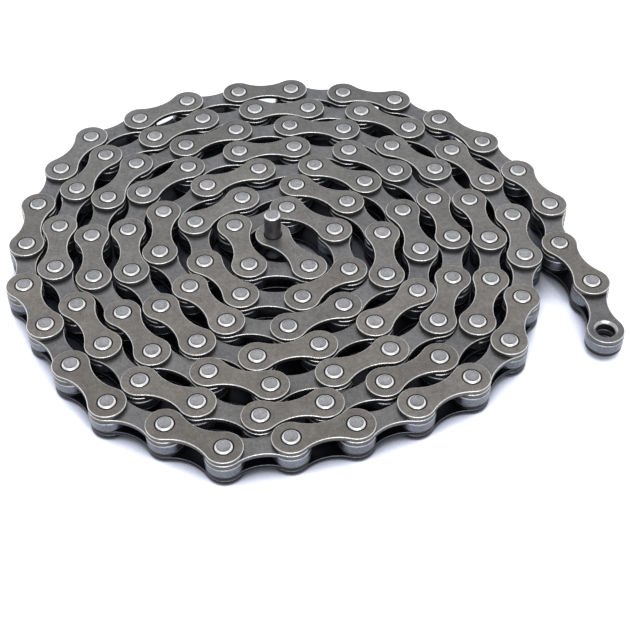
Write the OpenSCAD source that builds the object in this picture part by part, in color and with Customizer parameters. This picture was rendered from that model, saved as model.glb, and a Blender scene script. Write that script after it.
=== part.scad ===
// A bicycle chain, coiled flat on a surface as it is sold. Each link is its own set of plates,
// pins and rollers. The chain lies with its pins upright, so a plate is upper or lower, and
// the coil winds clockwise from the joining pin in its middle out to the open end of its tail.

/* [Chain] */
// Number of links, counting inner and outer ones
link_count = 116; // [100:2:130]
// Distance from one pin to the next
pitch = 12.7; // [12.5:0.05:13]

/* [Plates] */
// Width of a plate round its pins
plate_end_d = 7.6; // [7.2:0.05:7.8]
// Width of a plate at its waist
plate_waist_w = 4.2; // [3.6:0.1:5]
// Thickness of an outer plate
outer_plate_t = 1; // [0.8:0.05:1.3]
// Thickness of an inner plate
inner_plate_t = 1; // [0.8:0.05:1.3]
// Space between the two plates of an inner link, where a sprocket tooth goes
inner_w = 2.38; // [2:0.02:3.4]
// Outer diameter of the collars that are drawn inwards from an inner plate
collar_d = 5; // [4.8:0.05:5.4]
// Space between the collars of the two plates of an inner link
collar_space = 0.2; // [0.1:0.05:0.6]
// Depth of the rounded mouth of a hole in an inner plate
mouth_depth = 0.35; // [0.2:0.05:0.6]

/* [Pins] */
// Diameter of a pin
pin_d = 3.6; // [3.4:0.05:3.8]
// How far a riveted pin stands out from an outer plate
pin_stand = 0.4; // [0.2:0.05:0.8]
// Diameter of the flat face at the end of a pin
pin_face_d = 2.8; // [2:0.1:3.2]
// How far the joining pin is drawn out from its home, ready to be pressed in
joining_pin_travel = 5.3; // [4.5:0.1:5.6]

/* [Rollers] */
// Outer diameter of a roller
roller_d = 7.75; // [7.4:0.05:7.8]
// Size of the bevel round each end of a roller
roller_bevel = 0.25; // [0.1:0.05:0.4]

/* [Fits] */
// Running clearance all round a pin in the holes of an inner plate
pin_fit = 0.05; // [0.03:0.01:0.08]
// Running clearance all round a collar inside its roller
roller_fit = 0.05; // [0.03:0.01:0.08]
// Clearance between each end of a roller and the inner plate beside it
roller_end_gap = 0.08; // [0.05:0.01:0.15]
// Clearance between an inner plate and the outer plate beside it
side_gap = 0.1; // [0.05:0.01:0.2]
// Clearance all round a riveted pin in its outer plates, next to nothing
rivet_fit = 0.01; // [0.005:0.005:0.02]
// Clearance all round the joining pin, which slides through its outer plates
joining_fit = 0.02; // [0.015:0.005:0.05]

/* [Coil] */
// Least room between the plates or rollers of neighbouring turns
coil_gap = 0.15; // [0.1:0.01:0.4]
// Growth of the coil's radius in one turn
turn_growth = 7.33; // [7.2:0.01:8]
// Radius at which the coil's spiral begins
spiral_start_r = 3.4; // [3:0.05:4]
// How far the coil is drawn out of round
oval = 1.1; // [0:0.05:1.4]
// Direction from the middle of the coil in which it is widest
oval_turn = 152; // [140:1:160]
// Place of the joining pin, to the right of the coil's middle
joining_pin_x = -2.55; // [-3.2:0.05:-2.2]
// Place of the joining pin, behind the coil's middle
joining_pin_y = 2.9; // [2.6:0.1:3.6]
// Direction of the joining link, from its joining pin to its riveted pin
joining_link_turn = -52; // [-56:1:-46]

/* [Hidden] */
// The bends between the first links of the coil, and between the last ones of its tail
core_bends = [131, 71, 79, 62, 42, 69, 43, 47, 27, 64];
tail_bends = [7, 25, -22, 19];
// A pin that would touch a neighbouring turn is moved outwards by steps of this size
push_step = 0.05;
most_push = 8;
// A chosen bend that would make links touch is opened by steps of this angle
bend_step = 1;
most_open_bend = -60;
// The links before this one are checked against the whole core, the rest against one turn
core_pins = 30;
inward_margin = 6;
outward_margin = 4;
// A wound angle larger than this is a small turn backwards
back_turn = 300;
$fn = 64;

function two_digits(n) = str(n < 10 ? "0" : "", n);

// Sizes that follow from the ones above
plate_r = plate_end_d / 2;
waist_r = plate_waist_w / 2;
pin_r = pin_d / 2;
roller_r = roller_d / 2;
collar_r = collar_d / 2;
half_pitch = pitch / 2;
bore_r = pin_r + pin_fit;
collar_h = (inner_w - collar_space) / 2;
roller_w = inner_w - 2 * roller_end_gap;
inner_face_z = inner_w / 2;
outer_face_z = inner_face_z + inner_plate_t + side_gap;
half_chain_h = outer_face_z + outer_plate_t + pin_stand;
// The hollow sides of a plate are arcs that run smoothly into its round ends
hollow_r = (half_pitch * half_pitch + waist_r * waist_r - plate_r * plate_r) / (2 * (plate_r - waist_r));
hollow_y = waist_r + hollow_r;
blend_y = hollow_y * plate_r / (plate_r + hollow_r);
// Neighbouring pins of two turns are at least this far apart
pin_room = 2 * max(roller_r, plate_r) + coil_gap;
// The last links of the coil are the ones that swing, numbered from the open end
swing_links = 14;
coil_end = link_count - swing_links - 1;

// The layout of the coil, seen from above: a list of pins from the joining pin outwards
function way(p) = atan2(p.y, p.x);
function toward(p, angle, far) = p + far * [cos(angle), sin(angle)];
function wound(from, to) =
    let (turn = (way(from) - way(to) + 720) % 360)
    turn > back_turn ? turn - 360 : turn;
function spiral_r(turned) =
    spiral_start_r + turn_growth * turned / 360 + oval * cos(2 * (turned - oval_turn));

// Room between a round plate end at p and the plate that joins pins a and c
function plate_room(p, a, c) =
    let (
        off = p - (a + c) / 2,
        along = abs(off * (c - a)) / pitch,
        across = abs(cross(c - a, off)) / pitch
    )
    across < hollow_y && along < (hollow_y - across) * half_pitch / hollow_y
        ? hollow_r - norm([along, hollow_y - across]) - plate_r
        : norm([along - half_pitch, across]) - 2 * plate_r;

// Whether a new pin at p, and the plate from the last pin to it, clear pins j to last
function clears(pins, p, j, last) =
    j > last ? true
    : norm(p - pins[j]) < pin_room ? false
    : plate_room(pins[j], pins[len(pins) - 1], p) < coil_gap ? false
    : plate_room(p, pins[j], pins[j + 1]) < coil_gap ? false
    : clears(pins, p, j + 1, last);

// Whether a new pin at p clears all that lies near it
function fits(pins, p) =
    let (
        n = len(pins),
        turn_links = floor(2 * PI * norm(pins[n - 1]) / pitch),
        first = n < core_pins ? 0 : n - turn_links - inward_margin,
        last = n < core_pins ? n - 3 : min(n - 3, n - turn_links + outward_margin)
    )
    clears(pins, p, max(0, first), last);

// The next pin of a link with a chosen bend, opened where it would touch
function folded(pins, heading, bend) =
    let (p = toward(pins[len(pins) - 1], heading - bend, pitch))
    fits(pins, p) || bend < most_open_bend ? p : folded(pins, heading, bend - bend_step);

// The next pin on the spiral, or as little outside it as keeps it clear
function on_spiral(pins, turned, push) =
    let (
        last = pins[len(pins) - 1],
        last_r = norm(last),
        r = spiral_r(turned + pitch / last_r * 180 / PI) + push,
        step_cos = (last_r * last_r + r * r - pitch * pitch) / (2 * last_r * r),
        p = toward([0, 0], way(last) - acos(max(-1, min(1, step_cos))), r)
    )
    fits(pins, p) || push > most_push ? p : on_spiral(pins, turned, push + push_step);

function wind(pins, turned, heading) =
    let (
        n = len(pins),
        core_i = n - 2,
        tail_i = n - (link_count + 1 - len(tail_bends)),
        last = pins[n - 1]
    )
    n > link_count ? pins
    : let (
        p = core_i < len(core_bends) ? folded(pins, heading, core_bends[core_i])
            : tail_i >= 0 ? folded(pins, heading, tail_bends[tail_i])
            : on_spiral(pins, turned, 0)
    )
    wind(concat(pins, [p]), turned + wound(last, p), way(p - last));

first_pin = [joining_pin_x, joining_pin_y];
second_pin = toward(first_pin, joining_link_turn, pitch);
wound_pins = wind([first_pin, second_pin], wound(first_pin, second_pin), joining_link_turn);
xs = [for (p = wound_pins) p.x];
ys = [for (p = wound_pins) p.y];
// The part stands on the middle of its own floor space
coil = [for (p = wound_pins) p - [min(xs) + max(xs), min(ys) + max(ys)] / 2];

// Link m joins pins m and m + 1. Even links are outer ones, and the open end is pin link_count
coil_outer_links = [for (m = [2 : 2 : coil_end]) m];
coil_inner_links = [for (m = [1 : 2 : coil_end]) m];

// Places what is drawn about a link's middle, with the link's outer end along +X
module at_link(m) {
    a = coil[m];
    c = coil[m + 1];
    translate([(a.x + c.x) / 2, (a.y + c.y) / 2, half_chain_h]) rotate([0, 0, way(c - a)]) children();
}

module at_pin(m) {
    translate([coil[m].x, coil[m].y, half_chain_h]) children();
}

module at_both_ends() {
    for (side = [-1, 1]) translate([side * half_pitch, 0, 0]) children();
}

// Side 1 is the upper plate of a link and -1 the lower one
module on_side(side) {
    mirror([0, 0, side < 0 ? 1 : 0]) children();
}

// The waisted outline of a plate
module plate_outline() {
    at_both_ends() circle(r = plate_r);
    difference() {
        square([pitch, 2 * blend_y], center = true);
        for (side = [-1, 1]) translate([0, side * hollow_y]) circle(r = hollow_r, $fn = 120);
    }
}

module outer_plate(hole_fit) {
    color([0.49, 0.48, 0.46]) translate([0, 0, outer_face_z])
        linear_extrude(outer_plate_t) difference() {
            plate_outline();
            at_both_ends() circle(r = pin_r + hole_fit);
        }
}

// An inner plate, whose drawn collars stand in for bushings and carry the rollers
module inner_plate() {
    top = inner_face_z + inner_plate_t;
    color([0.46, 0.465, 0.48]) difference() {
        union() {
            translate([0, 0, inner_face_z]) linear_extrude(inner_plate_t) plate_outline();
            at_both_ends() translate([0, 0, collar_space / 2])
                cylinder(r = collar_r, h = collar_h + inner_plate_t / 2);
        }
        at_both_ends() cylinder(r = bore_r, h = 2 * top);
        at_both_ends() translate([0, 0, top - mouth_depth])
            cylinder(r1 = bore_r, r2 = bore_r + 2 * mouth_depth, h = 2 * mouth_depth);
    }
}

// A roller, as a turned ring with bevelled ends
module roller() {
    bore = collar_r + roller_fit;
    half_w = roller_w / 2;
    color([0.35, 0.37, 0.41]) rotate_extrude() polygon([
        [bore, -half_w],
        [roller_r - roller_bevel, -half_w],
        [roller_r, roller_bevel - half_w],
        [roller_r, half_w - roller_bevel],
        [roller_r - roller_bevel, half_w],
        [bore, half_w]
    ]);
}

// A pin with bevelled ends. In its outer plates it stands out by the same amount at each end
module pin() {
    face_r = pin_face_d / 2;
    bevel_h = 0.7 * pin_stand;
    color([0.78, 0.78, 0.8]) rotate_extrude() polygon([
        [0, -half_chain_h],
        [face_r, -half_chain_h],
        [pin_r, bevel_h - half_chain_h],
        [pin_r, half_chain_h - bevel_h],
        [face_r, half_chain_h],
        [0, half_chain_h]
    ]);
}

// The links that stay together as the coil
module coil_outer_plates(side) {
    for (m = coil_outer_links) at_link(m) on_side(side) outer_plate(rivet_fit);
}

module coil_inner_plates(side) {
    for (m = coil_inner_links) at_link(m) on_side(side) inner_plate();
}

module coil_rollers() {
    for (m = coil_inner_links) at_link(m) at_both_ends() roller();
}

module coil_pins() {
    for (m = coil_outer_links) at_link(m) at_both_ends() pin();
}

// The joining link at the inner end, with one riveted pin and the joining pin drawn out
module joining_link_plate(side) {
    at_link(0) on_side(side) outer_plate(joining_fit);
}

module joining_link_riveted_pin() {
    at_pin(1) pin();
}

module joining_pin() {
    at_pin(0) translate([0, 0, joining_pin_travel]) pin();
}

// The links that swing, numbered from the open end of the tail
module outer_link_plate(link, side) {
    at_link(link_count - link) on_side(side) outer_plate(rivet_fit);
}

module outer_link_pins(link) {
    at_link(link_count - link) at_both_ends() pin();
}

module inner_link_plate(link, side) {
    at_link(link_count - link) on_side(side) inner_plate();
}

// End 1 is the end of the link towards the open end of the chain
module inner_link_roller(link, end) {
    at_link(link_count - link) translate([end * half_pitch, 0, 0]) roller();
}

coil_outer_plates(1);  // coil_outer_plates_upper
coil_outer_plates(-1);  // coil_outer_plates_lower
coil_inner_plates(1);  // coil_inner_plates_upper
coil_inner_plates(-1);  // coil_inner_plates_lower
coil_rollers();
coil_pins();
joining_link_plate(1);  // joining_link_upper_plate
joining_link_plate(-1);  // joining_link_lower_plate
joining_link_riveted_pin();
joining_pin();
outer_link_plate(2, 1);  // outer_link_02_upper_plate
outer_link_plate(2, -1);  // outer_link_02_lower_plate
outer_link_pins(2);  // outer_link_02_pins
outer_link_plate(4, 1);  // outer_link_04_upper_plate
outer_link_plate(4, -1);  // outer_link_04_lower_plate
outer_link_pins(4);  // outer_link_04_pins
outer_link_plate(6, 1);  // outer_link_06_upper_plate
outer_link_plate(6, -1);  // outer_link_06_lower_plate
outer_link_pins(6);  // outer_link_06_pins
outer_link_plate(8, 1);  // outer_link_08_upper_plate
outer_link_plate(8, -1);  // outer_link_08_lower_plate
outer_link_pins(8);  // outer_link_08_pins
outer_link_plate(10, 1);  // outer_link_10_upper_plate
outer_link_plate(10, -1);  // outer_link_10_lower_plate
outer_link_pins(10);  // outer_link_10_pins
outer_link_plate(12, 1);  // outer_link_12_upper_plate
outer_link_plate(12, -1);  // outer_link_12_lower_plate
outer_link_pins(12);  // outer_link_12_pins
outer_link_plate(14, 1);  // outer_link_14_upper_plate
outer_link_plate(14, -1);  // outer_link_14_lower_plate
outer_link_pins(14);  // outer_link_14_pins
inner_link_plate(1, 1);  // inner_link_01_upper_plate
inner_link_plate(1, -1);  // inner_link_01_lower_plate
inner_link_roller(1, 1);  // inner_link_01_outer_roller
inner_link_roller(1, -1);  // inner_link_01_inner_roller
inner_link_plate(3, 1);  // inner_link_03_upper_plate
inner_link_plate(3, -1);  // inner_link_03_lower_plate
inner_link_roller(3, 1);  // inner_link_03_outer_roller
inner_link_roller(3, -1);  // inner_link_03_inner_roller
inner_link_plate(5, 1);  // inner_link_05_upper_plate
inner_link_plate(5, -1);  // inner_link_05_lower_plate
inner_link_roller(5, 1);  // inner_link_05_outer_roller
inner_link_roller(5, -1);  // inner_link_05_inner_roller
inner_link_plate(7, 1);  // inner_link_07_upper_plate
inner_link_plate(7, -1);  // inner_link_07_lower_plate
inner_link_roller(7, 1);  // inner_link_07_outer_roller
inner_link_roller(7, -1);  // inner_link_07_inner_roller
inner_link_plate(9, 1);  // inner_link_09_upper_plate
inner_link_plate(9, -1);  // inner_link_09_lower_plate
inner_link_roller(9, 1);  // inner_link_09_outer_roller
inner_link_roller(9, -1);  // inner_link_09_inner_roller
inner_link_plate(11, 1);  // inner_link_11_upper_plate
inner_link_plate(11, -1);  // inner_link_11_lower_plate
inner_link_roller(11, 1);  // inner_link_11_outer_roller
inner_link_roller(11, -1);  // inner_link_11_inner_roller
inner_link_plate(13, 1);  // inner_link_13_upper_plate
inner_link_plate(13, -1);  // inner_link_13_lower_plate
inner_link_roller(13, 1);  // inner_link_13_outer_roller
inner_link_roller(13, -1);  // inner_link_13_inner_roller
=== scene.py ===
import math
import random

import bmesh
import bpy
from mathutils import Matrix, Vector


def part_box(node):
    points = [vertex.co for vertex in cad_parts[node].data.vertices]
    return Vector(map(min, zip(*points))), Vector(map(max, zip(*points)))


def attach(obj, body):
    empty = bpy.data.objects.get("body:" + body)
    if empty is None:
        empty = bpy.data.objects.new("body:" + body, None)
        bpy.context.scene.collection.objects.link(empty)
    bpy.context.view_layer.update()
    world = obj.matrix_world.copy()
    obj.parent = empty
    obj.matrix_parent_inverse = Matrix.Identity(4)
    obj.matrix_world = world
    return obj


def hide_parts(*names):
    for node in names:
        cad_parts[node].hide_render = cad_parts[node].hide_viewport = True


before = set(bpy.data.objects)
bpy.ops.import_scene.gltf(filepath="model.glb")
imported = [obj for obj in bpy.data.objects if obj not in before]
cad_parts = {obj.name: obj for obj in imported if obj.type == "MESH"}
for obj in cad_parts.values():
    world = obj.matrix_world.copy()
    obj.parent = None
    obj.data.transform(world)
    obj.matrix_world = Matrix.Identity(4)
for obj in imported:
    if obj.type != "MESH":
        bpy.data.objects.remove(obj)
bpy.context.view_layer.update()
random.seed(7)

# One millimetre in metres, and the chain's sizes in millimetres. They are those of the CAD source, but
# for the pin's face, which is a hair smaller because of its rounded rim.
MM = 0.001
PITCH = 12.7
PLATE_R = 3.8
WAIST_R = 2.1
PLATE_T = 1.0
INNER_W = 2.38
SIDE_GAP = 0.1
PIN_R = 1.8
PIN_FACE_R = 1.38
PIN_STAND = 0.4
RIVET_FIT = 0.01
PIN_FIT = 0.05
COLLAR_R = 2.5
COLLAR_SPACE = 0.2
ROLLER_R = 3.875
ROLLER_FIT = 0.05
ROLLER_END_GAP = 0.08

# What follows from them, with heights from the chain's middle plane
HALF_PITCH = PITCH / 2
INNER_Z = INNER_W / 2
OUTER_Z = INNER_Z + PLATE_T + SIDE_GAP
HALF_H = OUTER_Z + PLATE_T + PIN_STAND
BORE_R = PIN_R + PIN_FIT
COLLAR_END_Z = COLLAR_SPACE / 2
ROLLER_BORE_R = COLLAR_R + ROLLER_FIT
ROLLER_HALF_W = INNER_Z - ROLLER_END_GAP
# A plate's sides are hollow arcs that run smoothly into its round ends
HOLLOW_R = (HALF_PITCH**2 + WAIST_R**2 - PLATE_R**2) / (2 * (PLATE_R - WAIST_R))
HOLLOW_Y = WAIST_R + HOLLOW_R


# Where each link lies

# Points of a CAD mesh that are nearer than this, in metres, are one point
SAME_POINT = 1e-6


def solid_middles(node):
    """The middle of each solid of a CAD node, seen from above, in millimetres."""
    bm = bmesh.new()
    bm.from_mesh(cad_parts[node].data)
    bmesh.ops.remove_doubles(bm, verts=bm.verts, dist=SAME_POINT)
    left = set(bm.verts)
    middles = []
    while left:
        to_follow = [left.pop()]
        found = []
        while to_follow:
            point = to_follow.pop()
            found.append(point.co)
            for edge in point.link_edges:
                other = edge.other_vert(point)
                if other in left:
                    left.remove(other)
                    to_follow.append(other)
        xs = [at.x for at in found]
        ys = [at.y for at in found]
        middles.append(Vector(((min(xs) + max(xs)) / 2, (min(ys) + max(ys)) / 2)) / MM)
    bm.free()
    return middles


def node_middle(node):
    """The middle of a CAD node of one solid, seen from above, in millimetres."""
    low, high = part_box(node)
    return ((low + high) / 2 / MM).xy


def link_miss(middle, pin, pins):
    """How badly a link's middle fits one that starts at this pin and ends at another of the pins."""
    far_end = 2 * middle - pin
    return abs((middle - pin).length - HALF_PITCH) + min((other - far_end).length for other in pins)


def walk_chain():
    """The chain's pins in order, from the joining pin to the open end, as points in millimetres."""
    pins = solid_middles("coil_rollers")
    links = solid_middles("coil_outer_plates_upper") + solid_middles("coil_inner_plates_upper")
    links.append(node_middle("joining_link_upper_plate"))
    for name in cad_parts:
        if name.endswith("_roller"):
            pins.append(node_middle(name))
        elif name.endswith("_upper_plate") and not name.startswith("joining"):
            links.append(node_middle(name))
    chain = [node_middle("joining_pin")]
    while links:
        here = chain[-1]
        middle = min(links, key=lambda link: link_miss(link, here, pins))
        chain.append(min(pins, key=lambda pin: (pin - (2 * middle - here)).length))
        links.remove(middle)
    return chain


chain = walk_chain()
LINKS = len(chain) - 1


def place_at(at, turn, lift=0.0):
    """Where a shape lies whose own Z is 0 on the chain's middle plane."""
    moved = Matrix.Translation((at.x * MM, at.y * MM, (HALF_H + lift) * MM))
    return moved @ Matrix.Rotation(turn, 4, "Z") @ Matrix.Scale(MM, 4)


def link_place(index):
    """Where a link lies, counted from the joining link as 0. Its own X runs to its outer pin."""
    along = chain[index + 1] - chain[index]
    return place_at((chain[index] + chain[index + 1]) / 2, math.atan2(along.y, along.x))


def pin_place(index, lift=0.0):
    """Where a pin or its roller lies, turned at random as each real one is. The joining pin is 0."""
    return place_at(chain[index], random.uniform(0, math.tau), lift)


# The shapes of one plate, roller and pin

# Each shape is drawn in rings of points. A ring's rim is how bare it is rubbed and how strongly a
# highlight is painted on it, and its oil_and_shade how dark it is with oil and with painted shade in
# recesses and between parts, both from 0 to 1. These are the steps in a plate's end, its hollow side,
# a hole and a turned piece.
END_STEPS = 30
HOLLOW_STEPS = 14
HOLE_STEPS = 44
TURNED_STEPS = 60


def new_shape():
    """An empty shape, and the layers that hold the rim and the oil_and_shade of its points."""
    bm = bmesh.new()
    return bm, (bm.verts.layers.float.new("rim"), bm.verts.layers.float.new("oil_and_shade"))


def outline_ring(bm, looks, inset, z, rim, oil_and_shade):
    """One line round a waisted plate, drawn in by inset."""
    end_r, hollow_r = PLATE_R - inset, HOLLOW_R + inset
    join = math.atan2(HOLLOW_Y, -HALF_PITCH)
    points = []
    for side in (1, -1):
        for i in range(END_STEPS + 1):
            angle = join * (2 * i / END_STEPS - 1)
            x = HALF_PITCH + end_r * math.cos(angle)
            points.append((side * x, side * end_r * math.sin(angle), z))
        start = math.atan2(-HOLLOW_Y, HALF_PITCH)
        span = -math.pi - 2 * start
        for i in range(1, HOLLOW_STEPS):
            angle = start + span * i / HOLLOW_STEPS
            y = HOLLOW_Y + hollow_r * math.sin(angle)
            points.append((side * hollow_r * math.cos(angle), side * y, z))
    return make_ring(bm, looks, points, rim, oil_and_shade)


def circle_ring(bm, looks, middle_x, radius, z, rim, oil_and_shade, steps=HOLE_STEPS):
    """One line round a hole, a pin or a roller."""
    angles = [math.tau * i / steps for i in range(steps)]
    points = [(middle_x + radius * math.cos(angle), radius * math.sin(angle), z) for angle in angles]
    return make_ring(bm, looks, points, rim, oil_and_shade)


def make_ring(bm, looks, points, rim, oil_and_shade):
    """New points of a shape, with their looks."""
    rim_layer, oil_and_shade_layer = looks
    ring = [bm.verts.new(at) for at in points]
    for point in ring:
        point[rim_layer] = rim
        point[oil_and_shade_layer] = oil_and_shade
    return ring


def skin(bm, rings):
    """Faces from each ring to the next."""
    for lower, upper in zip(rings, rings[1:]):
        count = len(lower)
        for i in range(count):
            after = (i + 1) % count
            bm.faces.new((lower[i], lower[after], upper[after], upper[i]))


def fill_between(bm, loops):
    """A flat face inside the first loop and outside the others."""
    edges = []
    for loop in loops:
        edges += [bm.edges.get(pair) for pair in zip(loop, loop[1:] + loop[:1])]
    bmesh.ops.triangle_fill(bm, use_beauty=True, use_dissolve=False, edges=edges, normal=(0, 0, 1))


def close_shape(bm, name, upside_down=False):
    """The finished mesh of a shape, whose points keep their own places for the grain to follow."""
    if upside_down:
        bmesh.ops.scale(bm, vec=(1, 1, -1), verts=bm.verts)
    bmesh.ops.recalc_face_normals(bm, faces=bm.faces)
    place = bm.verts.layers.float_vector.new("place")
    for point in bm.verts:
        point[place] = point.co
    for face in bm.faces:
        face.smooth = True
    mesh = bpy.data.meshes.new(name)
    bm.to_mesh(mesh)
    bm.free()
    return mesh


def plate_shape(name, outline, hole, upside_down):
    """A plate drawn from its inner face to its outer.

    Its outline is a list of (inset, height, rim, oil_and_shade), and its hole one of
    (radius, height, rim, oil_and_shade).
    """
    bm, looks = new_shape()
    rings = [outline_ring(bm, looks, *step) for step in outline]
    skin(bm, rings)
    bottom, top = [rings[0]], [rings[-1]]
    for side in (-1, 1):
        rings = [circle_ring(bm, looks, side * HALF_PITCH, *step) for step in hole]
        skin(bm, rings)
        bottom.append(rings[0])
        top.append(rings[-1])
    fill_between(bm, bottom)
    fill_between(bm, top)
    return close_shape(bm, name, upside_down)


def rounded_outline(z0, z1, side_oil_and_shade, sheen_and_wear):
    """A blanked plate's edge: a small burr-free corner inside and the rolled-over corner outside.

    side_oil_and_shade is how dark its cut side is with oil and painted shade, and sheen_and_wear how far
    its outside corner is rubbed and painted with a highlight. Its inner face, towards the other plate, is
    painted dark with oil and shade all over.
    """
    return [
        (0.16, z0, 0, 1),
        (0.12, z0, 0, 1),
        (0.035, z0 + 0.035, 0.2, 1),
        (0, z0 + 0.12, 0, side_oil_and_shade),
        (0, z1 - 0.27, 0, side_oil_and_shade),
        (0.015, z1 - 0.17, 0.1, side_oil_and_shade),
        (0.05, z1 - 0.09, sheen_and_wear, 0),
        (0.12, z1 - 0.03, sheen_and_wear, 0),
        (0.2, z1, 0.15, 0),
        (0.25, z1, 0, 0),
    ]


def edge_looks(upside_down):
    """How dark with oil and painted shade, and how rubbed and highlighted, a plate's edge is. A lower
    plate gets more painted shade on its side and a weaker painted highlight on its corner.
    """
    return (1, 0.35) if upside_down else (0.5, 1)


def outer_plate_shape(name, upside_down):
    """A plate whose holes hold a riveted pin, with a ring of old oil and painted shade round each."""
    z0, z1 = OUTER_Z, OUTER_Z + PLATE_T
    hole_r = PIN_R + RIVET_FIT
    hole = [
        (hole_r + 0.1, z0, 0, 1),
        (hole_r, z0 + 0.08, 0, 1),
        (hole_r, z1 - 0.12, 0, 1),
        (hole_r + 0.05, z1 - 0.04, 0, 1),
        (hole_r + 0.15, z1, 0, 1),
        (hole_r + 0.24, z1, 0, 0.4),
        (hole_r + 0.3, z1, 0, 0),
    ]
    return plate_shape(name, rounded_outline(z0, z1, *edge_looks(upside_down)), hole, upside_down)


def inner_plate_shape(name, upside_down):
    """A plate with a collar drawn inwards round each hole, dark inside with oil and painted shade, and a
    flare at its mouth that is rubbed and carries a painted highlight.
    """
    z0, z1 = INNER_Z, INNER_Z + PLATE_T
    collar = [
        (COLLAR_R + 0.25, z0, 0, 1),
        (COLLAR_R + 0.1, z0, 0, 1),
        (COLLAR_R + 0.02, z0 - 0.03, 0, 1),
        (COLLAR_R, z0 - 0.09, 0, 1),
        (COLLAR_R, COLLAR_END_Z + 0.12, 0, 1),
        (COLLAR_R - 0.1, COLLAR_END_Z, 0.4, 0.7),
    ]
    bore = [
        (BORE_R + 0.1, COLLAR_END_Z, 0.4, 0.7),
        (BORE_R, COLLAR_END_Z + 0.1, 0, 0.85),
        (BORE_R, z1 - 0.8, 0, 0.9),
        (BORE_R + 0.03, z1 - 0.64, 0, 0.8),
    ]
    flare = [
        (BORE_R + 0.09, z1 - 0.52, 0.5, 0.1),
        (BORE_R + 0.5, z1 - 0.06, 0.7, 0),
        (BORE_R + 0.56, z1 - 0.015, 0.4, 0),
        (BORE_R + 0.63, z1, 0, 0),
        (BORE_R + 0.7, z1, 0, 0),
    ]
    hole = collar + bore + flare
    return plate_shape(name, rounded_outline(z0, z1, *edge_looks(upside_down)), hole, upside_down)


def turned_shape(name, profile, closed):
    """A shape turned about Z from a list of (radius, height, rim, oil_and_shade).

    A closed profile meets itself, and an open one starts and ends on the axis.
    """
    bm, looks = new_shape()
    if closed:
        rings = [circle_ring(bm, looks, 0, *step, steps=TURNED_STEPS) for step in profile]
        skin(bm, rings + [rings[0]])
    else:
        rings = [circle_ring(bm, looks, 0, *step, steps=TURNED_STEPS) for step in profile[1:-1]]
        skin(bm, rings)
        for ring, step in ((rings[0], profile[0]), (rings[-1], profile[-1])):
            tip = bm.verts.new((0, 0, step[1]))
            for i in range(TURNED_STEPS):
                bm.faces.new((ring[i], ring[(i + 1) % TURNED_STEPS], tip))
    return close_shape(bm, name)


def mirrored(profile):
    """The same profile below the middle plane, in the order in which it goes on."""
    return [(radius, -z, rim, oil_and_shade) for radius, z, rim, oil_and_shade in reversed(profile)]


def roller_shape():
    """A roller with rounded corners that are rubbed and carry a painted highlight, and dark with oil and
    painted shade on its ends and in its bore, where it lies between the plates.
    """
    half = [
        (ROLLER_BORE_R + 0.05, ROLLER_HALF_W, 0, 1),
        (ROLLER_R - 0.375, ROLLER_HALF_W, 0, 1),
        (ROLLER_R - 0.255, ROLLER_HALF_W, 0, 1),
        (ROLLER_R - 0.135, ROLLER_HALF_W - 0.05, 0.5, 0.6),
        (ROLLER_R - 0.04, ROLLER_HALF_W - 0.15, 1, 0.2),
        (ROLLER_R, ROLLER_HALF_W - 0.3, 0.2, 0),
        (ROLLER_R, ROLLER_HALF_W - 0.36, 0, 0),
    ]
    bore_end = [(ROLLER_BORE_R, ROLLER_HALF_W - 0.05, 0, 1)]
    return turned_shape("roller", half + mirrored(half) + mirrored(bore_end) + bore_end, True)


def pin_shape():
    """A pin with riveted ends: a flat face, a shallow line round it that is painted dark as shade, and a
    rim pressed outwards that is rubbed and carries a painted highlight.
    """
    end = [
        (0, HALF_H, 0, 0),
        (PIN_FACE_R - 0.22, HALF_H, 0, 0),
        (PIN_FACE_R - 0.17, HALF_H - 0.01, 0, 0.1),
        (PIN_FACE_R - 0.11, HALF_H - 0.035, 0, 0.55),
        (PIN_FACE_R - 0.04, HALF_H - 0.035, 0, 0.4),
        (PIN_FACE_R + 0.04, HALF_H - 0.06, 0.9, 0),
        (PIN_FACE_R + 0.13, HALF_H - 0.13, 1, 0),
        (PIN_FACE_R + 0.22, HALF_H - 0.21, 1, 0),
        (PIN_FACE_R + 0.28, HALF_H - 0.28, 0.9, 0),
        (PIN_FACE_R + 0.33, HALF_H - 0.34, 0.3, 0.7),
        (PIN_R, HALF_H - 0.42, 0, 1),
        (PIN_R, HALF_H - 0.6, 0, 0.55),
    ]
    return turned_shape("pin", end + mirrored(end), False)


shapes = {
    "outer_up": outer_plate_shape("outer_up", False),
    "outer_low": outer_plate_shape("outer_low", True),
    "inner_up": inner_plate_shape("inner_up", False),
    "inner_low": inner_plate_shape("inner_low", True),
    "roller": roller_shape(),
    "pin": pin_shape(),
}


# Materials

def add(tree, kind, inputs=None, **settings):
    """A new shader node. An input's value may be a number or colour, or another node's output socket."""
    made = tree.nodes.new(kind)
    for key, value in settings.items():
        setattr(made, key, value)
    for key, value in (inputs or {}).items():
        if isinstance(value, bpy.types.NodeSocket):
            tree.links.new(value, made.inputs[key])
        else:
            made.inputs[key].default_value = value
    return made


def maths(tree, operation, *values, clamp=False):
    """The result of one Math node."""
    inputs = dict(enumerate(values))
    return add(tree, "ShaderNodeMath", inputs, operation=operation, use_clamp=clamp).outputs[0]


def spread(tree, value, low, high, to_low, to_high):
    """A value between low and high, spread over to_low to to_high and held at its ends."""
    inputs = {"Value": value, "From Min": low, "From Max": high, "To Min": to_low, "To Max": to_high}
    return add(tree, "ShaderNodeMapRange", inputs, clamp=True).outputs["Result"]


def noise(tree, where, scale, detail, roughness):
    """Noise round 0.5, with so many lumps to each unit of where."""
    inputs = {"Vector": where, "Scale": scale, "Detail": detail, "Roughness": roughness}
    return add(tree, "ShaderNodeTexNoise", inputs).outputs["Fac"]


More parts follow.
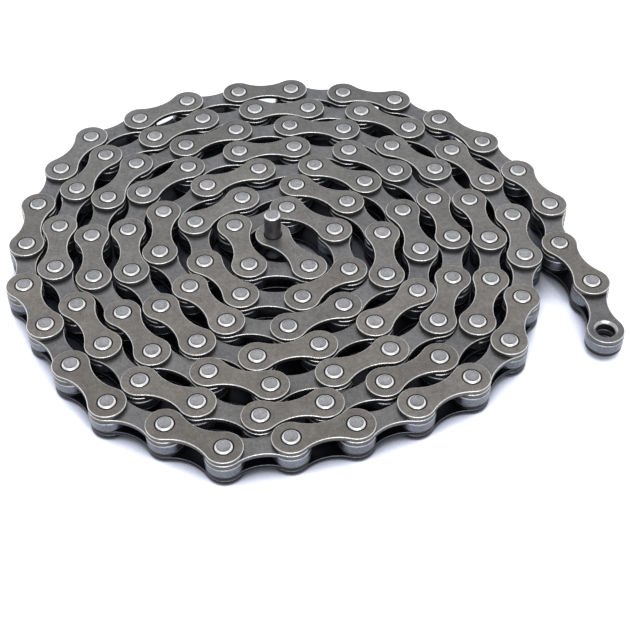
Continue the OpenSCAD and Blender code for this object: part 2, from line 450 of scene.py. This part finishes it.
def spread_noise(tree, value, to_low, to_high):
    """Noise, which hardly leaves the range from 0.3 to 0.7, spread over to_low to to_high."""
    return spread(tree, value, 0.3, 0.7, to_low, to_high)


def mix_colour(tree, factor, first, second, blend="MIX"):
    """A mix of two colours. The mix node takes them at its inputs 6 and 7 and gives it at output 2."""
    mix = add(tree, "ShaderNodeMix", {0: factor, 6: first, 7: second}, data_type="RGBA", blend_type=blend)
    return mix.outputs[2]


def mix_number(tree, factor, first, second):
    """A mix of two numbers, which the mix node takes at its inputs 2 and 3."""
    return add(tree, "ShaderNodeMix", {0: factor, 2: first, 3: second}, data_type="FLOAT").outputs[0]


def new_group(name, inputs, outputs):
    """An empty shader node group, with what it is given and what it puts out."""
    tree = bpy.data.node_groups.new(name, "ShaderNodeTree")
    for socket, kind in inputs:
        tree.interface.new_socket(socket, in_out="INPUT", socket_type=kind)
    for socket, kind in outputs:
        tree.interface.new_socket(socket, in_out="OUTPUT", socket_type=kind)
    return tree, tree.nodes.new("NodeGroupInput").outputs, tree.nodes.new("NodeGroupOutput").inputs


FLOAT = "NodeSocketFloat"
VECTOR = "NodeSocketVector"


def mottle_group():
    """Uneven oxide on rolled strip: broad clouds, patches and fine grain, moved along for each tone."""
    takes = [("Place", VECTOR), ("Tone", FLOAT)]
    tree, given, out = new_group("Oxide_Mottle", takes, [("Shade", FLOAT), ("Grain", FLOAT)])
    across = maths(tree, "MULTIPLY", given["Tone"], 91.0)
    deep = maths(tree, "MULTIPLY", given["Tone"], 37.0)
    shift = add(tree, "ShaderNodeCombineXYZ", {"X": across, "Z": deep}).outputs[0]
    moved = add(tree, "ShaderNodeVectorMath", {0: given["Place"], 1: shift}, operation="ADD").outputs[0]
    cloud = noise(tree, moved, 0.22, 3.0, 0.55)
    patch = noise(tree, moved, 1.1, 2.0, 0.6)
    grain = noise(tree, moved, 3.2, 4.0, 0.7)
    clouds = spread_noise(tree, cloud, 0.86, 1.14)
    patches = spread_noise(tree, patch, -0.14, 0.14)
    grains = spread_noise(tree, grain, -0.3, 0.3)
    shade = maths(tree, "ADD", clouds, maths(tree, "ADD", patches, grains))
    varied = maths(tree, "MULTIPLY", shade, spread(tree, given["Tone"], 0.0, 1.0, 0.89, 1.11))
    tree.links.new(varied, out["Shade"])
    tree.links.new(grain, out["Grain"])
    return tree


def scratch_group():
    """Fine handling marks that run mostly along a piece."""
    tree, given, out = new_group("Handling_Marks", [("Place", VECTOR), ("Tone", FLOAT)], [("Mask", FLOAT)])
    lean = maths(tree, "MULTIPLY", given["Tone"], 2.4)
    held = {"Vector": given["Place"], "Angle": lean}
    turned = add(tree, "ShaderNodeVectorRotate", held, rotation_type="Z_AXIS").outputs[0]
    masks = []
    for squeeze, scale in (((0.35, 7.0, 1.0), 1.0), ((5.0, 0.4, 1.0), 0.8)):
        long_way = add(tree, "ShaderNodeVectorMath", {0: turned, 1: squeeze}, operation="MULTIPLY")
        lines = noise(tree, long_way.outputs[0], scale, 2.0, 0.6)
        masks.append(spread(tree, lines, 0.68, 0.76, 0.0, 1.0))
    tree.links.new(maths(tree, "MAXIMUM", *masks), out["Mask"])
    return tree


def rim_group():
    """Bare metal and a painted highlight where an edge has rubbed, broken up by its grain."""
    takes = [("Rim", FLOAT), ("Grain", FLOAT), ("Amount", FLOAT)]
    tree, given, out = new_group("Rubbed_Edge_And_Highlight", takes, [("Mask", FLOAT)])
    broken = maths(tree, "MULTIPLY", given["Rim"], spread(tree, given["Grain"], 0.35, 0.6, 0.55, 1.0))
    tree.links.new(maths(tree, "MULTIPLY", broken, given["Amount"], clamp=True), out["Mask"])
    return tree


groups = {"mottle": mottle_group(), "marks": scratch_group(), "rim": rim_group()}


def grouped(tree, name, inputs):
    """One of the groups, placed in a material with its own values."""
    return add(tree, "ShaderNodeGroup", inputs, node_tree=groups[name]).outputs


def painted(tree, attribute, output="Fac"):
    """What a piece's points say of one of its looks."""
    return add(tree, "ShaderNodeAttribute", attribute_name=attribute).outputs[output]


# How pale and how deep a handling mark is, how far the grain changes the roughness, how high the grain
# stands in metres, and how much of it is left on a rubbed edge
MARK_PALENESS = 0.18
MARK_DEPTH = 0.4
ROUGH_CHANGE = 0.05
GRAIN_HEIGHT = 0.00003
RIM_RELIEF = 0.15


def steel(name, cool, warm, worn_and_highlight, darkening, metallic, rough, sheen_and_wear, bump):
    """Steel with clouds, grain, marks, oil and painted shade, and rubbed edges with a painted highlight,
    all by what its pieces' points say.

    cool, warm, worn_and_highlight and darkening are its colours: darkening is that of oil and painted
    shade, and worn_and_highlight the pale of marks and of rubbed edges with a painted highlight.
    sheen_and_wear holds the metallic, roughness and strength of those edges.
    """
    rim_metallic, rim_rough, rim_strength = sheen_and_wear
    material = bpy.data.materials.new(name)
    material.use_nodes = True
    tree = material.node_tree
    shader = tree.nodes["Principled BSDF"]
    place, tone = painted(tree, "place", "Vector"), painted(tree, "tone")
    rim, oil_and_shade = painted(tree, "rim"), painted(tree, "oil_and_shade")
    mottle = grouped(tree, "mottle", {"Place": place, "Tone": tone})
    marks = grouped(tree, "marks", {"Place": place, "Tone": tone})
    rubbed_and_highlight = grouped(tree, "rim", {"Rim": rim, "Grain": mottle["Grain"], "Amount": rim_strength})["Mask"]
    shade = add(tree, "ShaderNodeCombineXYZ", {axis: mottle["Shade"] for axis in "XYZ"}).outputs[0]
    colour = mix_colour(tree, painted(tree, "warmth"), (*cool, 1), (*warm, 1))
    colour = mix_colour(tree, 1.0, colour, shade, "MULTIPLY")
    colour = mix_colour(tree, maths(tree, "MULTIPLY", marks["Mask"], MARK_PALENESS), colour, (*worn_and_highlight, 1))
    # Oil and painted shade: darker in recesses, between the plates, round the pins and on the lower plates
    colour = mix_colour(tree, oil_and_shade, colour, (*darkening, 1))
    # Wear and painted highlight: rubbed plate edges, pin rims, roller corners and the bore's flare go
    # nearly white
    colour = mix_colour(tree, rubbed_and_highlight, colour, (*worn_and_highlight, 1))
    tree.links.new(colour, shader.inputs["Base Color"])
    # A rubbed edge is partly bright bare metal and partly a painted highlight: it is nearly white and less
    # metallic, so it shows as a pale line from every side
    tree.links.new(spread(tree, rubbed_and_highlight, 0.0, 1.0, metallic, rim_metallic), shader.inputs["Metallic"])
    grainy = spread_noise(tree, mottle["Grain"], rough - ROUGH_CHANGE, rough + ROUGH_CHANGE)
    tree.links.new(mix_number(tree, rubbed_and_highlight, grainy, rim_rough), shader.inputs["Roughness"])
    relief = maths(tree, "SUBTRACT", mottle["Grain"], maths(tree, "MULTIPLY", marks["Mask"], MARK_DEPTH))
    relief = maths(tree, "MULTIPLY", relief, spread(tree, rim, 0.0, 1.0, 1.0, RIM_RELIEF))
    raised = add(tree, "ShaderNodeBump", {"Height": relief, "Strength": bump, "Distance": GRAIN_HEIGHT})
    tree.links.new(raised.outputs[0], shader.inputs["Normal"])
    return material


materials = {
    "outer_plate": steel(
        "browned_steel", cool=(0.183, 0.184, 0.184), warm=(0.198, 0.185, 0.173), worn_and_highlight=(0.96, 0.96, 0.96),
        darkening=(0.013, 0.014, 0.02), metallic=0.85, rough=0.4, sheen_and_wear=(0.7, 0.28, 1.2), bump=0.5),
    "inner_plate": steel(
        "blued_steel", cool=(0.168, 0.171, 0.182), warm=(0.177, 0.174, 0.178), worn_and_highlight=(0.93, 0.93, 0.94),
        darkening=(0.013, 0.014, 0.021), metallic=0.85, rough=0.38, sheen_and_wear=(0.8, 0.28, 1.1), bump=0.4),
    "pin": steel(
        "bright_steel", cool=(0.32, 0.324, 0.343), warm=(0.323, 0.324, 0.343), worn_and_highlight=(0.98, 0.98, 0.99),
        darkening=(0.018, 0.021, 0.028), metallic=0.9, rough=0.34, sheen_and_wear=(0.45, 0.26, 1.7), bump=0.5),
    "roller": steel(
        "dark_steel", cool=(0.13, 0.143, 0.176), warm=(0.136, 0.145, 0.17), worn_and_highlight=(0.6, 0.62, 0.66),
        darkening=(0.02, 0.023, 0.032), metallic=0.9, rough=0.3, sheen_and_wear=(0.7, 0.28, 0.8), bump=0.2),
}


# The pieces

# The links are warmer in colour towards the front: from back to front over this many metres, and
# each link by this much more or less of its own
WARMER_FRONT_DEPTH = 0.09
WARMER_FRONT_CHANCE = 0.25
# The open end of the tail is darker than the other links
OPEN_END_DARKENING = 0.22


def piece(node, shape, places, body, slot, darkening=0.0):
    """One copy of a shape at each place, as what is seen of a CAD node. darkening is the least of its
    oil_and_shade.
    """
    bm = bmesh.new()
    tone = bm.verts.layers.float.new("tone")
    warmth = bm.verts.layers.float.new("warmth")
    for place in places:
        start = len(bm.verts)
        bm.from_mesh(shapes[shape])
        bm.verts.ensure_lookup_table()
        oil_and_shade = bm.verts.layers.float["oil_and_shade"]
        added = bm.verts[start:]
        shade = random.random()
        chance = random.uniform(-WARMER_FRONT_CHANCE, WARMER_FRONT_CHANCE)
        front_warmth = min(1.0, max(0.0, 0.5 - place.translation.y / WARMER_FRONT_DEPTH + chance))
        for point in added:
            point[tone] = shade
            point[warmth] = front_warmth
            point[oil_and_shade] = max(point[oil_and_shade], darkening)
        bmesh.ops.transform(bm, matrix=place, verts=added)
    mesh = bpy.data.meshes.new("seen_" + node)
    bm.to_mesh(mesh)
    bm.free()
    mesh.materials.append(materials[slot])
    made = bpy.data.objects.new("seen_" + node, mesh)
    bpy.context.scene.collection.objects.link(made)
    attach(made, body)
    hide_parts(node)


def both_pins(links):
    """Where the pins or the rollers at both ends of these links lie."""
    return [pin_place(index + end) for index in links for end in (0, 1)]


swinging = [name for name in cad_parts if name.startswith(("outer_link_", "inner_link_"))]
SWING = max(int(name.split("_")[2]) for name in swinging)
coil_end = LINKS - SWING
outer_links = range(2, coil_end, 2)
inner_links = range(1, coil_end, 2)
outer_places = [link_place(index) for index in outer_links]
inner_places = [link_place(index) for index in inner_links]
coil = [
    ("coil_outer_plates_upper", "outer_up", outer_places, "outer_plate"),
    ("coil_outer_plates_lower", "outer_low", outer_places, "outer_plate"),
    ("coil_inner_plates_upper", "inner_up", inner_places, "inner_plate"),
    ("coil_inner_plates_lower", "inner_low", inner_places, "inner_plate"),
    ("coil_rollers", "roller", both_pins(inner_links), "roller"),
    ("coil_pins", "pin", both_pins(outer_links), "pin"),
]
for node, shape, places, slot in coil:
    piece(node, shape, places, "coil", slot)

joining_low, joining_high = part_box("joining_pin")
joining_lift = (joining_high.z + joining_low.z) / 2 / MM - HALF_H
piece("joining_link_upper_plate", "outer_up", [link_place(0)], "joining_link", "outer_plate")
piece("joining_link_lower_plate", "outer_low", [link_place(0)], "joining_link", "outer_plate")
piece("joining_link_riveted_pin", "pin", [pin_place(1)], "joining_link", "pin")
piece("joining_pin", "pin", [pin_place(0, joining_lift)], "joining_pin", "pin")

# The swinging links are numbered from the open end
for number in range(1, SWING + 1):
    index = LINKS - number
    kind = "outer" if number % 2 == 0 else "inner"
    link = f"{kind}_link_{number:02d}"
    darkening = OPEN_END_DARKENING if number == 1 else 0.0
    piece(link + "_upper_plate", kind + "_up", [link_place(index)], link, kind + "_plate", darkening)
    piece(link + "_lower_plate", kind + "_low", [link_place(index)], link, kind + "_plate", darkening)
    if kind == "outer":
        piece(link + "_pins", "pin", both_pins([index]), link, "pin")
    else:
        for end, at in (("outer", index + 1), ("inner", index)):
            roller = f"{link}_{end}_roller"
            piece(roller, "roller", [pin_place(at)], roller, "roller")


def finish_of(node):
    """Which material a CAD node has."""
    for ending, finish in (("roller", "roller"), ("rollers", "roller"), ("pin", "pin"), ("pins", "pin")):
        if node.endswith(ending):
            return finish
    return "inner_plate" if "inner" in node else "outer_plate"


for name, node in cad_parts.items():
    node.data.materials.clear()
    node.data.materials.append(materials[finish_of(name)])


# Floor, light and camera

# The floor lies this much below the chain, in metres, so that the two never share a plane
FLOOR_DROP = 0.00002
# How far the floor looks round for what shades it, in metres: a little more than the chain's height
SHADE_REACH = 0.009


def pale_floor():
    """White paper under the chain."""
    bpy.ops.mesh.primitive_plane_add(size=6.0, location=(0, 0, -FLOOR_DROP))
    floor = bpy.context.active_object
    floor.name = "floor"
    material = bpy.data.materials.new("pale_floor")
    material.use_nodes = True
    tree = material.node_tree
    shader = tree.nodes["Principled BSDF"]
    shader.inputs["Roughness"].default_value = 0.6
    shader.inputs["Specular IOR Level"].default_value = 0.2
    where = add(tree, "ShaderNodeTexCoord").outputs["Object"]
    fibre = noise(tree, where, 40.0, 2.0, 0.5)
    tint = mix_colour(tree, fibre, (0.56, 0.57, 0.64, 1), (0.58, 0.59, 0.65, 1))
    # Painted shade: the paper's colour is darkened by ambient occlusion in the gaps and close under the
    # chain.
    # Its glow is dimmed there and tinted blue at the edge as a painted shadow, and it glows white where it
    # is open
    open_air = add(tree, "ShaderNodeAmbientOcclusion", {"Distance": SHADE_REACH}, samples=16).outputs["AO"]
    tint = mix_colour(tree, spread(tree, open_air, 0.15, 0.5, 0.0, 1.0), (0.05, 0.056, 0.085, 1), tint)
    tree.links.new(tint, shader.inputs["Base Color"])
    path = add(tree, "ShaderNodeLightPath")
    shown = maths(tree, "MAXIMUM", path.outputs["Is Camera Ray"], path.outputs["Is Glossy Ray"])
    shown = maths(tree, "MAXIMUM", shown, path.outputs["Is Transmission Ray"])
    # Painted shadow: the glow fades out as the occlusion deepens, and is blue where it is half shaded
    white = maths(tree, "MULTIPLY", shown, spread(tree, open_air, 0.4, 0.63, 0.0, 0.88))
    paleness = spread(tree, open_air, 0.45, 0.8, 0.0, 1.0)
    cool = mix_colour(tree, paleness, (0.66, 0.73, 1.0, 1), (1, 1, 1, 1))
    glow = add(tree, "ShaderNodeEmission", {"Color": cool, "Strength": white})
    both = add(tree, "ShaderNodeAddShader", {0: shader.outputs[0], 1: glow.outputs[0]})
    tree.links.new(both.outputs[0], tree.nodes["Material Output"].inputs["Surface"])
    floor.data.materials.append(material)


def softbox(name, place, width, depth, watts):
    """A white lamp that is turned to the middle of the chain."""
    data = bpy.data.lights.new(name, "AREA")
    data.shape = "RECTANGLE"
    data.size = width
    data.size_y = depth
    data.energy = watts
    lamp = bpy.data.objects.new(name, data)
    bpy.context.scene.collection.objects.link(lamp)
    lamp.location = place
    lamp.rotation_euler = (-Vector(place)).to_track_quat("-Z", "Y").to_euler()


pale_floor()
softbox("back_softbox", (0.0, 0.5, 0.56), width=0.9, depth=0.4, watts=0.8)
softbox("front_softbox", (0.05, -0.6, 0.5), width=0.8, depth=0.2, watts=2.2)

# A studio dome, white round its foot, plainer above it and a little darker straight overhead
world = bpy.data.worlds.new("studio")
bpy.context.scene.world = world
world.use_nodes = True
dome = world.node_tree
outwards = add(dome, "ShaderNodeTexCoord").outputs["Generated"]
height = add(dome, "ShaderNodeSeparateXYZ", {0: outwards}).outputs["Z"]
around = spread(dome, height, 0.1, 0.45, 1.1, 0.62)
overhead = spread(dome, height, 0.87, 0.98, 1.0, 0.85)
dome.links.new(maths(dome, "MULTIPLY", around, overhead), dome.nodes["Background"].inputs["Strength"])
dome.nodes["Background"].inputs["Color"].default_value = (1, 1, 1, 1)

# The photograph's camera, found by setting the chain's 12.7 mm pitch on every link that it shows
FOCAL_PIXELS = 1326.2
PICTURE_PIXELS = 630
TILT = math.radians(46.197)
ROLL = math.radians(-0.602)
DISTANCE = 268.58
LOOK_AT = Vector((1.54, -21.63, 2 * HALF_H))
ahead = Vector((0, math.cos(TILT), -math.sin(TILT)))
level = Vector((1, 0, 0))
upward = Vector((0, math.sin(TILT), math.cos(TILT)))
right = math.cos(ROLL) * level + math.sin(ROLL) * upward
top = math.cos(ROLL) * upward - math.sin(ROLL) * level
eye = (LOOK_AT - DISTANCE * ahead) * MM
lens = bpy.data.cameras.new("camera")
lens.lens = FOCAL_PIXELS * lens.sensor_width / PICTURE_PIXELS
lens.clip_start = 0.01
lens.clip_end = 10.0
camera = bpy.data.objects.new("camera", lens)
bpy.context.scene.collection.objects.link(camera)
camera.matrix_world = Matrix.LocRotScale(eye, Matrix((right, top, -ahead)).transposed(), None)
bpy.context.scene.camera = camera
bpy.context.scene.view_settings.view_transform = "Standard"
